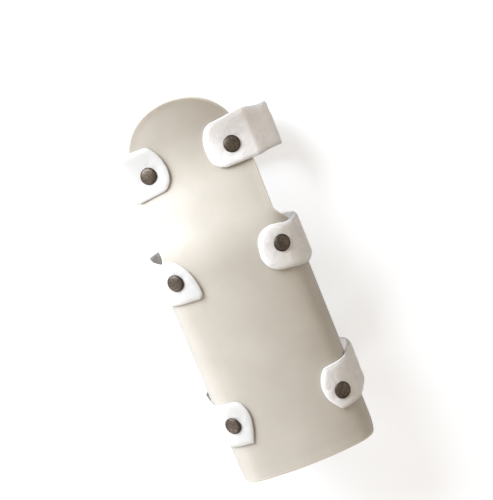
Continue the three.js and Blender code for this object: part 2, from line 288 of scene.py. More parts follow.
def cut_sheet(name, outline, spacing, heights, rim, place, pinned=None):
    """A closed sheet cut to a flat outline, with rounded edges, wrapped into shape.

    outline is counterclockwise, in mm; heights is (top, bottom); place(u, v, height, edge)
    gives the point in mm, where edge is the distance in from the outline. Edge points whose
    u is pinned are left square, where another piece carries on."""
    top, bottom = heights
    loop = resample(outline, spacing * 0.5)
    square = np.zeros(len(loop), bool) if pinned is None else np.abs(loop[:, 0] - pinned) < 1e-3

    def moved_in(distance):
        return inset(loop, distance, square)

    inner = moved_in(rim)
    low, high = inner.min(0), inner.max(0)
    us = np.arange(low[0] + spacing * 0.5, high[0], spacing)
    vs = np.arange(low[1] + spacing * 0.5, high[1], spacing)
    grid = np.array([(u, v) for u in us for v in vs])
    grid = grid[inside(grid, inner)]
    grid = grid[distance_to_loop(grid, inner) > spacing * 0.5]
    flat = [Vector(p) for p in np.concatenate([inner, grid])]
    loop_edges = [(i, (i + 1) % len(inner)) for i in range(len(inner))]
    filled, _, faces, _, _, _ = delaunay_2d_cdt(flat, loop_edges, [], 1, 1e-6)
    if len(filled) != len(flat):
        raise ValueError(f"{name}: the outline crosses itself")
    edges = distance_to_loop(np.array([tuple(p) for p in filled]), loop)

    mesh = bpy.data.meshes.new(name)
    bm = bmesh.new()
    uv = bm.loops.layers.uv.new("flat")
    edge_layer = bm.verts.layers.float.new("edge")
    flats = {}

    def add(u, v, height, edge):
        vert = bm.verts.new(place(u, v, height, edge) * MM)
        vert[edge_layer] = edge
        flats[vert] = (u, v)
        return vert

    tops = [add(p[0], p[1], top, e) for p, e in zip(filled, edges)]
    bottoms = [add(p[0], p[1], bottom, e) for p, e in zip(filled, edges)]
    for face in faces:
        bm.faces.new([tops[i] for i in face])
        bm.faces.new([bottoms[i] for i in reversed(face)])
    rings = [tops[:len(inner)]]
    angles = [math.pi / 2 * k / RIM_STEPS for k in range(1, RIM_STEPS + 1)]
    for face_height, inwards, turns in ((top, -1, angles), (bottom, 1, angles[::-1])):
        for angle in turns:
            distance = rim * (1 - math.sin(angle))
            height = face_height + inwards * rim * (1 - math.cos(angle))
            rings.append([add(u, v, height, distance) for u, v in moved_in(distance)])
    rings.append(bottoms[:len(inner)])
    for upper, lower in zip(rings, rings[1:]):
        for i in range(len(inner)):
            j = (i + 1) % len(inner)
            bm.faces.new([upper[i], lower[i], lower[j], upper[j]])
    bmesh.ops.recalc_face_normals(bm, faces=bm.faces)
    if pinned is not None:
        for edge in bm.edges:
            edge.smooth = any(abs(flats[vert][0] - pinned) > 1e-3 for vert in edge.verts)
    for face in bm.faces:
        face.smooth = True
        for corner in face.loops:
            corner[uv].uv = flats[corner.vert]
    bm.to_mesh(mesh)
    bm.free()
    piece = bpy.data.objects.new(name, mesh)
    SCENE.collection.objects.link(piece)
    return piece


# ------------------------------------------------------------------ material building
class Nodes:
    """Short calls for building one material's node tree, called n where it is used."""

    def __init__(self, name):
        self.material = bpy.data.materials.new(name)
        self.material.use_nodes = True
        self.tree = self.material.node_tree
        self.shader = self.tree.nodes["Principled BSDF"]

    def link(self, source, target):
        self.tree.links.new(source, target)

    def set(self, **values):
        for key, value in values.items():
            self.shader.inputs[key.replace("_", " ")].default_value = value

    def math(self, operation, first, second=None, third=None):
        node = self.tree.nodes.new("ShaderNodeMath")
        node.operation = operation
        for socket, value in zip(node.inputs, (first, second, third)):
            if value is None:
                continue
            if isinstance(value, (int, float)):
                socket.default_value = value
            else:
                self.link(value, socket)
        return node.outputs[0]

    def between(self, factor, first, second):
        """first where factor is 0, second where it is 1."""
        kept = self.math("MULTIPLY", first, self.math("SUBTRACT", 1.0, factor))
        return self.math("ADD", kept, self.math("MULTIPLY", second, factor))

    def noise(self, vector, scale, detail=3.0, roughness=0.55):
        node = self.tree.nodes.new("ShaderNodeTexNoise")
        node.inputs["Scale"].default_value = scale
        node.inputs["Detail"].default_value = detail
        node.inputs["Roughness"].default_value = roughness
        self.link(vector, node.inputs["Vector"])
        return node.outputs["Fac"]

    def span(self, value, low, high, to_low=0.0, to_high=1.0):
        node = self.tree.nodes.new("ShaderNodeMapRange")
        ends = {"From Min": low, "From Max": high, "To Min": to_low, "To Max": to_high}
        for key, number in ends.items():
            node.inputs[key].default_value = number
        self.link(value, node.inputs["Value"])
        return node.outputs["Result"]

    def mix(self, factor, first, second):
        node = self.tree.nodes.new("ShaderNodeMix")
        node.data_type = "RGBA"
        sockets = (node.inputs[0], node.inputs[6], node.inputs[7])
        for socket, value in zip(sockets, (factor, first, second)):
            if isinstance(value, (int, float)):
                socket.default_value = value
            elif isinstance(value, tuple):
                socket.default_value = (*value, 1.0)
            else:
                self.link(value, socket)
        return node.outputs[2]

    def bump(self, height, strength, distance, normal=None):
        node = self.tree.nodes.new("ShaderNodeBump")
        node.inputs["Strength"].default_value = strength
        node.inputs["Distance"].default_value = distance
        self.link(height, node.inputs["Height"])
        if normal is not None:
            self.link(normal, node.inputs["Normal"])
        return node.outputs["Normal"]

    def place(self):
        return self.tree.nodes.new("ShaderNodeTexCoord").outputs["Object"]

    def flat(self):
        """The place on the sheet before it was wrapped, in mm along and across."""
        node = self.tree.nodes.new("ShaderNodeUVMap")
        node.uv_map = "flat"
        parts = self.tree.nodes.new("ShaderNodeSeparateXYZ")
        self.link(node.outputs["UV"], parts.inputs[0])
        return parts.outputs["X"], parts.outputs["Y"]

    def attribute(self, name):
        node = self.tree.nodes.new("ShaderNodeAttribute")
        node.attribute_name = name
        return node.outputs["Fac"]


# Colours that each surface wanders between (on the tapes, from painted shade in the hollows of the
# weave and nap to their tops), and how evenly light sinks in.
PLATE_COLOURS = ((0.54, 0.503, 0.443), (0.578, 0.541, 0.48))
PLATE_SPECK_COLOUR = (0.66, 0.62, 0.54)
PLATE_RIM_TONE_AND_HIGHLIGHT_COLOUR = (0.80, 0.75, 0.66)
PLATE_SCATTER = (1.0, 0.75, 0.5)
HOOK_TAPE_GAP_SHADE_AND_THREAD_COLOURS = ((0.645, 0.64, 0.625), (0.775, 0.77, 0.755))
HOOK_TAPE_SOIL_COLOUR = (0.74, 0.72, 0.69)
LOOP_TAPE_HOLLOW_SHADE_AND_NAP_COLOURS = ((0.89, 0.857, 0.84), (0.98, 0.947, 0.933))
CLOTH_SCATTER = (1.0, 0.95, 0.9)
FILAMENT_COLOURS = ((0.82, 0.82, 0.80), (0.95, 0.95, 0.94))
RIVET_COLOURS = ((0.095, 0.074, 0.056), (0.20, 0.165, 0.135))
RIVET_RIM_COLOUR = (0.035, 0.028, 0.022)
# Where the plate's paler rim fades out, partly its own tone and partly a painted highlight along the
# rim, and the threads and selvedges of the tapes, in mm: a selvedge is (width, width with the blend
# left off).
PLATE_EDGE_BAND = (0.5, 1.7)
HOOK_THREAD = 0.55
LOOP_THREAD = 0.5
SELVEDGE_CORD = 1.1
HOOK_SELVEDGE = (1.6, 1.2)
LOOP_SELVEDGE = (1.5, 1.0)


def plate_material():
    """Moulded polyethylene: warm white, satin, with orange peel, faint mottling and scuffs."""
    n = Nodes("plate_polyethylene")
    place = n.place()
    cloudy = n.span(n.noise(place, 38.0, 3.0), 0.35, 0.65)
    colour = n.mix(cloudy, *PLATE_COLOURS)
    specks = n.span(n.noise(place, 900.0, 2.0), 0.62, 0.78)
    colour = n.mix(n.math("MULTIPLY", specks, 0.12), colour, PLATE_SPECK_COLOUR)
    # The rim is painted paler: partly the cut edge's own tone, partly a painted highlight along the
    # rounded rim.
    edge = n.span(n.attribute("edge"), *PLATE_EDGE_BAND, 1.0, 0.0)
    colour = n.mix(n.math("MULTIPLY", edge, 0.7), colour, PLATE_RIM_TONE_AND_HIGHLIGHT_COLOUR)
    n.link(colour, n.shader.inputs["Base Color"])
    scuffs = n.span(n.noise(place, 160.0, 6.0, 0.7), 0.45, 0.7)
    rough = n.math("MULTIPLY_ADD", scuffs, 0.12, 0.36)
    n.link(n.math("MULTIPLY_ADD", edge, 0.15, rough), n.shader.inputs["Roughness"])
    peel = n.noise(place, 420.0, 2.0)
    waves = n.noise(place, 30.0, 1.0)
    normal = n.bump(waves, 0.25, 0.0012)
    n.link(n.bump(peel, 0.12, 0.00025, normal), n.shader.inputs["Normal"])
    n.set(Subsurface_Weight=0.12, Subsurface_Scale=0.004, Specular_IOR_Level=0.45)
    n.shader.inputs["Subsurface Radius"].default_value = PLATE_SCATTER
    return n.material


def weave_height(n, u, v, pitch):
    """Plain weave: warp and weft threads passing over and under each other."""
    turn = WHOLE_TURN / (2 * pitch)
    along = n.math("ABSOLUTE", n.math("SINE", n.math("MULTIPLY", u, turn)))
    across = n.math("ABSOLUTE", n.math("SINE", n.math("MULTIPLY", v, turn)))
    cell_u = n.math("FLOOR", n.math("DIVIDE", u, pitch))
    cell_v = n.math("FLOOR", n.math("DIVIDE", v, pitch))
    over = n.math("FLOORED_MODULO", n.math("ADD", cell_u, cell_v), 2.0)
    under = n.math("SUBTRACT", 1.0, over)
    warp = n.math("MULTIPLY", across, n.math("MULTIPLY_ADD", over, 0.6, 0.4))
    weft = n.math("MULTIPLY", along, n.math("MULTIPLY_ADD", under, 0.6, 0.4))
    return n.math("MAXIMUM", warp, weft)


def selvedge(n, v, widths):
    """1 on the woven strip along each side of a tape, 0 between the strips."""
    start, full = (TAPE_WIDTH / 2 - width for width in widths)
    return n.span(n.math("ABSOLUTE", v), start, full)


def hook_tape_material():
    """The smooth woven back of nylon hook tape, with a corded selvedge along each side."""
    n = Nodes("hook_tape_weave")
    u, v = n.flat()
    place = n.place()
    height = weave_height(n, u, v, HOOK_THREAD)
    side = selvedge(n, v, HOOK_SELVEDGE)
    cords = n.math("ABSOLUTE", n.math("SINE", n.math("MULTIPLY", v, WHOLE_TURN / SELVEDGE_CORD)))
    height = n.between(side, height, cords)
    fuzz = n.noise(place, 1500.0, 2.0)
    soil = n.span(n.noise(place, 90.0, 4.0), 0.4, 0.75)
    uneven = n.noise(place, 380.0, 3.0, 0.65)
    # Painted shade: the weave is coloured darker in the gaps between threads and lighter on their
    # tops.
    colour = n.mix(height, *HOOK_TAPE_GAP_SHADE_AND_THREAD_COLOURS)
    colour = n.mix(n.math("MULTIPLY", soil, 0.12), colour, HOOK_TAPE_SOIL_COLOUR)
    n.link(colour, n.shader.inputs["Base Color"])
    n.link(n.math("MULTIPLY_ADD", fuzz, 0.2, 0.7), n.shader.inputs["Roughness"])
    normal = n.bump(height, 0.7, 0.00022, n.bump(uneven, 0.6, 0.0004))
    n.link(n.bump(fuzz, 0.25, 0.0001, normal), n.shader.inputs["Normal"])
    n.set(Sheen_Weight=0.25, Sheen_Roughness=0.5, Specular_IOR_Level=0.25)
    n.set(Subsurface_Weight=0.4, Subsurface_Scale=0.003)
    n.shader.inputs["Subsurface Radius"].default_value = CLOTH_SCATTER
    return n.material


def loop_tape_material():
    """The napped face of loop tape: a mat of fine nylon loops between woven selvedges."""
    n = Nodes("loop_tape_nap")
    u, v = n.flat()
    place = n.place()
    coarse = n.noise(place, 420.0, 3.0, 0.7)
    fine = n.noise(place, 1700.0, 3.0, 0.8)
    nap = n.math("MULTIPLY_ADD", fine, 0.6, n.math("MULTIPLY", coarse, 0.6))
    side = selvedge(n, v, LOOP_SELVEDGE)
    weave = weave_height(n, u, v, LOOP_THREAD)
    height = n.between(side, nap, weave)
    # Painted shade: the hollows of the nap and of the selvedge weave are coloured darker, their tops
    # lighter.
    painted_hollow_shade = n.span(height, 0.48, 0.78)
    colour = n.mix(painted_hollow_shade, *LOOP_TAPE_HOLLOW_SHADE_AND_NAP_COLOURS)
    n.link(colour, n.shader.inputs["Base Color"])
    n.set(Roughness=0.95, Sheen_Weight=0.5, Sheen_Roughness=0.6, Specular_IOR_Level=0.15)
    n.set(Subsurface_Weight=0.4, Subsurface_Scale=0.003)
    n.shader.inputs["Subsurface Radius"].default_value = CLOTH_SCATTER
    n.link(n.bump(height, 0.7, 0.0004), n.shader.inputs["Normal"])
    return n.material


def filament_material():
    """Stiff clear-white nylon filament, as in the little hooks."""
    n = Nodes("hook_filament")
    place = n.place()
    tone = n.noise(place, 2600.0, 1.0)
    n.link(n.mix(tone, *FILAMENT_COLOURS), n.shader.inputs["Base Color"])
    n.link(n.math("MULTIPLY_ADD", tone, 0.2, 0.3), n.shader.inputs["Roughness"])
    n.set(Specular_IOR_Level=0.5, Subsurface_Weight=0.2, Subsurface_Scale=0.0005)
    return n.material


def rivet_material():
    """Antique bronze plating: dark brown-grey and mottled, darker towards the rim."""
    n = Nodes("rivet_bronze")
    place = n.place()
    patina = n.span(n.noise(place, 700.0, 4.0, 0.65), 0.35, 0.7)
    colour = n.mix(patina, *RIVET_COLOURS)
    rim = n.attribute("rim")
    colour = n.mix(n.math("MULTIPLY", rim, 0.75), colour, RIVET_RIM_COLOUR)
    n.link(colour, n.shader.inputs["Base Color"])
    n.link(n.math("MULTIPLY_ADD", patina, -0.12, 0.58), n.shader.inputs["Roughness"])
    n.set(Metallic=0.85)
    dents = n.noise(place, 500.0, 2.0)
    n.link(n.bump(dents, 0.35, 0.0002), n.shader.inputs["Normal"])
    return n.material


MATERIALS = {
    "plate": plate_material(),
    "hook": hook_tape_material(),
    "loop": loop_tape_material(),
    "filament": filament_material(),
    "rivet": rivet_material(),
}


# ------------------------------------------------------------------ plate
PLATE_SPACING = 2.0
PLATE_RIM = 1.1
# The rim is rolled slightly outwards.
LIP_RISE = 0.5
LIP_REACH = 3.2
CORNER_POINTS = 12
TIP_POINTS = 40
SIDE_STEP = 1.0


def plate_outline():
    """(t, s) round the plate, counterclockwise, starting at the forearm end."""
    quarter = math.pi / 2
    stations = []
    for k in range(CORNER_POINTS + 1):
        turn = quarter * k / CORNER_POINTS
        stations.append(FOREARM_END_S + END_CORNER_RADIUS * (1 - math.cos(turn)))
    side_start, side_end = stations[-1], TIP_S - TONGUE_HALF
    steps = int((side_end - side_start) / SIDE_STEP)
    stations += [side_start + (side_end - side_start) * k / steps for k in range(1, steps)]
    for k in range(TIP_POINTS + 1):
        stations.append(TIP_S - TONGUE_HALF * (1 - math.sin(quarter * k / TIP_POINTS)))
    thumb = [(plate_half(s, 1), s) for s in stations]
    little = [(-plate_half(s, -1), s) for s in reversed(stations[:-1])]
    return thumb + little


def make_plate():
    def place(t, s, height, edge):
        lip = LIP_RISE * smooth(1 - edge / LIP_REACH)
        return plate_point(s, t, height + lip)

    heights = (0.0, -PLATE_THICKNESS)
    plate = cut_sheet("plate_shell", plate_outline(), PLATE_SPACING, heights, PLATE_RIM, place)
    plate.data.materials.append(MATERIALS["plate"])
    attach(plate, "plate")
    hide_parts("moulded_plate")


# ------------------------------------------------------------------ tapes
# A row: s is its place on the crown line, edge the plate's half width there, depth how far
# below the crown the overlap lies, and hugs whether the tapes follow the plate to its edge.
# A strap: rivet is the rivet's distance out round the section; rivet_ahead and ahead are how
# far the rivet and the tape's centre line sit towards the fingers; skew turns the tape about
# its rivet; fold is its downward heading past the plate's edge, in degrees; straight is the
# length before it turns under the arm; raised and curl lift the tab and its free end; tab
# has the free end's corners, finger side first: (inwards from the rivet, towards the
# fingers from the centre line, radius).
ROWS = {
    "palm": {
        "s": 59.0, "edge": TONGUE_HALF + TONGUE_FLARE[-1], "depth": 42.48,
        "fold_radius": 3.0, "hugs": True,
        "thumb": {
            "rivet": 24.0, "rivet_ahead": 0.0, "ahead": 2.1, "skew": math.radians(-2),
            "fold": 46.0, "straight": 12.0, "raised": 0.5, "curl": -0.45,
            "tab": [(9.5, 12.5, 7.0), (14.2, 4.0, 30.0), (14.2, -7.0, 30.0), (9.5, -12.5, 30.0)],
        },
        "little": {
            "rivet": 23.0, "rivet_ahead": 0.3, "ahead": 2.1, "skew": math.radians(2),
            "fold": 46.0, "straight": 10.5, "raised": 0.0, "curl": 1.0,
            "tab": [
                (5.0, 12.5, 5.0), (9.6, 6.5, 30.0), (11.0, -2.0, 30.0), (9.8, -8.0, 8.0),
                (6.2, -12.5, 6.0),
            ],
        },
    },
    "wrist": {
        "s": 0.0, "edge": TROUGH_HALF, "depth": 51.0, "fold_radius": 6.0, "hugs": False,
        "thumb": {
            "rivet": 29.3, "rivet_ahead": -0.4, "ahead": -1.8, "skew": math.radians(9),
            "fold": 80.0, "straight": 7.0, "raised": 0.6, "curl": -0.6,
            "tab": [(12.5, 12.5, 10.0), (12.5, -12.5, 10.5)],
        },
        "little": {
            "rivet": 30.5, "rivet_ahead": 0.1, "ahead": 0.3, "skew": 0.0,
            "fold": 80.0, "straight": 7.0, "raised": 0.0, "curl": 0.5,
            "tab": [(1.5, 12.5, 8.0), (7.5, 6.8, 30.0), (11.2, -2.5, 30.0), (11.6, -12.5, 3.2)],
        },
    },
    "forearm": {
        "s": -85.0, "edge": TROUGH_HALF, "depth": 60.0, "fold_radius": 6.0, "hugs": False,
        "thumb": {
            "rivet": 30.1, "rivet_ahead": -2.4, "ahead": 0.5, "skew": 0.0,
            "fold": 80.0, "straight": 13.0, "raised": 0.4, "curl": -0.4,
            "tab": [(5.5, 12.5, 4.0), (10.0, 5.0, 30.0), (9.4, -5.0, 30.0), (3.6, -12.5, 1.0)],
        },
        "little": {
            "rivet": 31.6, "rivet_ahead": 0.9, "ahead": 0.9, "skew": 0.0,
            "fold": 80.0, "straight": 13.0, "raised": 0.0, "curl": 0.5,
            "tab": [(8.0, 12.5, 6.0), (11.6, 4.5, 30.0), (9.8, -5.0, 30.0), (7.2, -12.5, 1.0)],
        },
    },
}
SIDES = {"thumb": 1, "little": -1}
TAPE_SPACING = 1.0
TAPE_RIM = 0.6
TAPE_GAP = 0.08
FAR_TIP_RADIUS = 5.0
# The tab lies on the plate as far as LIFT_START out from the rivet, then rises to the edge.
LIFT_START = 3.0
CURL_START = 3.5
CURL_REACH = 8.0
# The cap presses a dimple into the tape, with small puckers round it.
DIMPLE_DEPTH = 0.45
DIMPLE_RADIUS = 6.2
PUCKER_DEPTH = 0.11
PUCKER_RADIUS = 6.3
PUCKER_REACH = 1.8
PUCKER_COUNT = 7
# Part of the thickness left at a cut edge, and how far in it is back to full.
EDGE_THINNING = 0.68
EDGE_THINNING_REACH = 2.0
# How far past the plate's edge a hugging tape keeps the edge's curve.
EDGE_EASE = 12.0


def thickness_left(edge):
    """Part of a tape's thickness at a distance in from its cut edge."""
    return EDGE_THINNING + (1 - EDGE_THINNING) * smooth(edge / EDGE_THINNING_REACH)


class Tape:
    """One tape's path, from a place on the flat tape to a point in mm: a runs outwards round
    the plate's section and on along the tape, b across it towards the fingers."""

    def __init__(self, row_name, side_name):
        self.row = ROWS[row_name]
        self.strap = self.row[side_name]
        self.side = SIDES[side_name]
        self.is_loop = side_name == "thumb"
        self.hinge = self.row["edge"] + HINGE_BEYOND_EDGE
        outward = self.hinge - self.strap["rivet"]
        self.shift = self.strap["ahead"] - outward * math.tan(self.strap["skew"])
        crown_y, crown_z, slope = crown_point(self.row["s"])
        self.crown = Vector((0, crown_y, crown_z)) + Vector(ORIGIN_SHIFT)
        self.forward = Vector((0, math.cos(slope), math.sin(slope)))
        self.up = Vector((0, -math.sin(slope), math.cos(slope)))
        self._lay_path()

    def _lay_path(self):
        """The path past the plate's edge: a fold, a straight side, a turn under the arm and a
        flat end, each kept as (x, depth, heading, length, turn)."""
        x, drop, angle = section_point(self.row["s"], self.hinge)
        x += math.sin(angle) * CAD_TAPE_LIFT
        depth = drop - math.cos(angle) * CAD_TAPE_LIFT
        self.pieces = []

        def lay(length, turn):
            nonlocal x, depth, angle
            self.pieces.append((x, depth, angle, length, turn))
            x, depth, angle = advance(x, depth, angle, turn / length, length)

        fold = math.radians(self.strap["fold"]) - angle
        if fold > 1e-6:
            lay(self.row["fold_radius"] * fold, fold)
        lay(self.strap["straight"], 0.0)
        layer = self.row["depth"] - CAD_TAPE_THICKNESS / 2 - (LAYER_PITCH if self.is_loop else 0.0)
        radius = (layer - depth) / (1 + math.cos(angle))
        lay(radius * (math.pi - angle), math.pi - angle)
        self.corner = self.hinge + sum(piece[3] for piece in self.pieces)
        lay(x - FAR_TIP_X, 0.0)
        self.end = self.hinge + sum(piece[3] for piece in self.pieces)

    def _row_point(self, x, depth, along):
        return self.crown + Vector((self.side * x, 0, 0)) + self.forward * along - self.up * depth

    def _beyond(self, a, b, height):
        """A point of the tape past the plate's edge."""
        left = a - self.hinge
        number = 0
        while number < len(self.pieces) - 1 and left > self.pieces[number][3]:
            left -= self.pieces[number][3]
            number += 1
        x, depth, angle, length, turn = self.pieces[number]
        x, depth, angle = advance(x, depth, angle, turn / length, left)
        x += math.sin(angle) * height
        depth -= math.cos(angle) * height
        return self._row_point(x, depth, self.shift + b)

    def _on_plate(self, a, b, height):
        """A point of the tape over the plate, where the tape turns from its skew to the row."""
        row, strap = self.row, self.strap
        rivet, skew = strap["rivet"], strap["skew"]
        turned = 1 - smooth((a - rivet) / (self.hinge - rivet))
        settled = 0.0 if row["hugs"] else smooth((a - rivet - SETTLE_START) / SETTLE_LENGTH)
        out = a - rivet
        turned_t = rivet + out * math.cos(skew) + b * math.sin(skew)
        turned_s = strap["ahead"] + b * math.cos(skew) - out * math.sin(skew)
        t = turned * turned_t + (1 - turned) * a
        s = turned * turned_s + (1 - turned) * (self.shift + b)
        hugging = plate_point(row["s"] + s, self.side * t, height)
        if settled == 0:
            return hugging
        x, drop, angle = section_point(row["s"], t)
        straight = self._row_point(x + math.sin(angle) * height, drop - math.cos(angle) * height, s)
        return hugging.lerp(straight, settled)

    def point(self, a, b, height):
        """height is from the middle of the tape's thickness."""
        if a >= self.hinge:
            place = self._beyond(a, b, height)
            if self.row["hugs"]:
                ease = 1 - smooth((a - self.hinge) / EDGE_EASE)
                if ease > 0:
                    at_edge = self._on_plate(self.hinge, b, CAD_TAPE_LIFT)
                    place += (at_edge - self._beyond(self.hinge, b, 0.0)) * ease
            return place
        rivet = self.strap["rivet"]
        snug = TAPE_GAP + TAPE_THICKNESS / 2 + self.strap["raised"]
        rise = smooth((a - rivet - LIFT_START) / (self.hinge - rivet - LIFT_START))
        lift = snug + (CAD_TAPE_LIFT - snug) * rise
        free = rivet - CURL_START - a
        if free > 0:
            lift += self.strap["curl"] * (free / CURL_REACH) ** 2
        return self._on_plate(a, b, height + lift)

    def from_rivet(self, a, b):
        """Distance on the flat tape from the rivet's middle."""
        across = b + self.strap["ahead"] - self.strap["rivet_ahead"]
        return math.hypot(a - self.strap["rivet"], across)

    def place(self, a, b, height, edge):
        """height is from the underside. The cap presses the tape into a dimple round the rivet,
        and the tape thins towards its cut edges."""
        reach = self.from_rivet(a, b)
        pressed = DIMPLE_DEPTH * math.exp(-(reach / DIMPLE_RADIUS) ** 2)
        heading = math.atan2(b, a - self.strap["rivet"])
        puckered = PUCKER_DEPTH * math.exp(-((reach - PUCKER_RADIUS) / PUCKER_REACH) ** 2)
        puckered *= math.cos(PUCKER_COUNT * heading + self.strap["rivet"])
        height *= 1 - (pressed + puckered) / TAPE_THICKNESS
        height *= thickness_left(edge)
        return self.point(a, b, height - TAPE_THICKNESS / 2)

    def tab_corners(self):
        """(a, b, radius) round the riveted end, finger side first."""
        rivet = self.strap["rivet"]
        return [(rivet - inwards, ahead, radius) for inwards, ahead, radius in self.strap["tab"]]


# ------------------------------------------------------------------ hooks and pile
# A hook's shape is (distance along its heading, rise off the face) from its root.
HOOK_PITCH = (1.7, 1.55)
HOOK_RADIUS = 0.11
HOOK_SHAPE = [(0.0, -0.05), (0.02, 0.28), (0.14, 0.46), (0.33, 0.45), (0.42, 0.30)]
HOOK_MARGIN = 2.2
HOOK_START = 8.0
HOOK_JITTER = 0.1
HOOK_TURN_JITTER = 0.25
SEAM_MARGIN = 1.0
PILE_PER_SQUARE = 0.55
PILE_RADIUS = 0.05
PILE_HEIGHT = (0.22, 0.45)
PILE_SPAN = (0.5, 1.1)
# An arch of pile, as parts of its span and rise; it starts and ends under the face.
PILE_ARCH = [(0.1, 0.7), (0.5, 1.0), (0.9, 0.7)]
PILE_ROOT = -0.1
TUBE_SIDES = 3
# How far from a filament's root the face's directions are taken.
PROBE = 0.2


def add_filaments(piece, tape, spots, material):
    """Fine bent filaments standing on a tape. Each spot is (a, b, height, heading, shape,
    radius), with the shape's points as (distance along the heading, distance off the face)."""
    mesh = piece.data
    mesh.materials.append(material)
    index = len(mesh.materials) - 1
    bm = bmesh.new()
    bm.from_mesh(mesh)
    uv = bm.loops.layers.uv["flat"]
    for a, b, height, heading, shape, radius in spots:
        base = tape.place(a, b, height, TAPE_WIDTH)
        along = (tape.place(a + PROBE, b, height, TAPE_WIDTH) - base).normalized()
        across = (tape.place(a, b + PROBE, height, TAPE_WIDTH) - base).normalized()
        off = along.cross(across).normalized()
        if off.dot(tape.place(a, b, height + PROBE, TAPE_WIDTH) - base) < 0:
            off.negate()
        forward = along * math.cos(heading) + across * math.sin(heading)
        sideways = off.cross(forward)
        rings = []
        for k, (run, rise) in enumerate(shape):
            before, after = shape[max(k - 1, 0)], shape[min(k + 1, len(shape) - 1)]
            way = (forward * (after[0] - before[0]) + off * (after[1] - before[1])).normalized()
            level = way.cross(sideways)
            centre = base + forward * run + off * rise
            ring = []
            for corner in range(TUBE_SIDES):
                angle = WHOLE_TURN * corner / TUBE_SIDES
                arm = sideways * math.cos(angle) + level * math.sin(angle)
                ring.append(bm.verts.new((centre + arm * radius) * MM))
            rings.append(ring)
        faces = [bm.faces.new(rings[0]), bm.faces.new(list(reversed(rings[-1])))]
        for lower, upper in zip(rings, rings[1:]):
            for corner in range(TUBE_SIDES):
                following = (corner + 1) % TUBE_SIDES
                faces.append(
                    bm.faces.new([lower[corner], upper[corner], upper[following], lower[following]])
                )
        for face in faces:
            face.material_index = index
            face.smooth = True
            for loop in face.loops:
                loop[uv].uv = (a, b)
    bm.to_mesh(mesh)
    bm.free()


def add_hooks(piece, tape, first, last):
    """Rows of little hooks on the inner face, each row turned against the one beside it."""
    spots = []
    inward = [(run, -rise) for run, rise in HOOK_SHAPE]
    columns = int((TAPE_WIDTH - 2 * HOOK_MARGIN) / HOOK_PITCH[1])
    rows = int((last - first) / HOOK_PITCH[0])
    random.seed(f"hooks {piece.name}")
    for column in range(columns + 1):
        b = -columns * HOOK_PITCH[1] / 2 + column * HOOK_PITCH[1]
        heading = 0.0 if column % 2 else math.pi
        for k in range(rows):
            a = first + (k + 0.5 * (column % 2)) * HOOK_PITCH[0]
            a += random.uniform(-HOOK_JITTER, HOOK_JITTER)
            turned = heading + random.uniform(-HOOK_TURN_JITTER, HOOK_TURN_JITTER)
            spots.append((a, b, 0.0, turned, inward, HOOK_RADIUS))
    add_filaments(piece, tape, spots, MATERIALS["filament"])


def add_pile(piece, tape, outline):
    """A nap of small loops over the outer face, standing out a little past the cut edges."""
    loop = np.array(outline)
    low, high = loop.min(0), loop.max(0)
    random.seed(f"pile {piece.name}")
    count = int((high[0] - low[0]) * (high[1] - low[1]) * PILE_PER_SQUARE)
    places = np.array([(random.uniform(low[0], high[0]), random.uniform(low[1], high[1]))
                       for _ in range(count)])
    places = places[inside(places, loop)]
    edges = distance_to_loop(places, loop)
    spots = []
    for (a, b), edge in zip(places, edges):
        if tape.from_rivet(a, b) < CAP_RADIUS:
            continue
        span, rise = random.uniform(*PILE_SPAN), random.uniform(*PILE_HEIGHT)
        arch = [(run * span, lift * rise) for run, lift in PILE_ARCH]
        shape = [(0.0, PILE_ROOT)] + arch + [(span, PILE_ROOT)]
        heading = random.uniform(0, WHOLE_TURN)
        spots.append((a, b, TAPE_THICKNESS * thickness_left(edge), heading, shape, PILE_RADIUS))
    add_filaments(piece, tape, spots, MATERIALS["filament"])


def cut_tape(name, kind, tape, outline, seam=None):
    heights = (TAPE_THICKNESS, 0.0)
    piece = cut_sheet(name, outline, TAPE_SPACING, heights, TAPE_RIM, tape.place, seam)
    piece.data.materials.append(MATERIALS[kind])
    return piece


def far_corners(tape):
    half = TAPE_WIDTH / 2
    return [(tape.end, -half, FAR_TIP_RADIUS), (tape.end, half, FAR_TIP_RADIUS)]


def make_loop_tape(row_name):
    tape = Tape(row_name, "thumb")
    outline = rounded_polygon(tape.tab_corners() + far_corners(tape))
    piece = cut_tape(f"loop_strap_{row_name}", "loop", tape, outline)
    add_pile(piece, tape, outline)
    bend_at_edge(piece, tape)
    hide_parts(f"loop_strap_tab_{row_name}", f"loop_strap_run_{row_name}")


def make_hook_tape(row_name):
    """One strap in two pieces, joined half way down its side, as each may bend only once."""
    tape = Tape(row_name, "little")
    half = TAPE_WIDTH / 2
    seam = (tape.hinge + tape.corner) / 2
    first = rounded_polygon(tape.tab_corners() + [(seam, -half, 0.0), (seam, half, 0.0)])
    second = rounded_polygon([(seam, half, 0.0), (seam, -half, 0.0)] + far_corners(tape))
    upper = cut_tape(f"hook_strap_{row_name}", "hook", tape, first, seam)
    lower = cut_tape(f"hook_strap_{row_name}_end", "hook", tape, second, seam)
    add_hooks(upper, tape, tape.hinge + HOOK_START, seam - SEAM_MARGIN)
    add_hooks(lower, tape, seam + SEAM_MARGIN, tape.end - HOOK_MARGIN)
    bend_at_edge(upper, tape)
    bend_at_corner(lower, tape)
    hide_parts(f"hook_strap_tab_{row_name}", f"hook_strap_side_{row_name}")
    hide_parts(f"hook_strap_end_{row_name}")


def bend_at_edge(piece, tape):
    hinge = tape.point(tape.hinge, 0.0, 0.0)
    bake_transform(piece)


def bend_at_corner(piece, tape):
    corner = tape.point(tape.corner, 0.0, 0.0)
    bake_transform(piece)


def make_tapes():
    for row_name in ROWS:
        make_loop_tape(row_name)
        make_hook_tape(row_name)


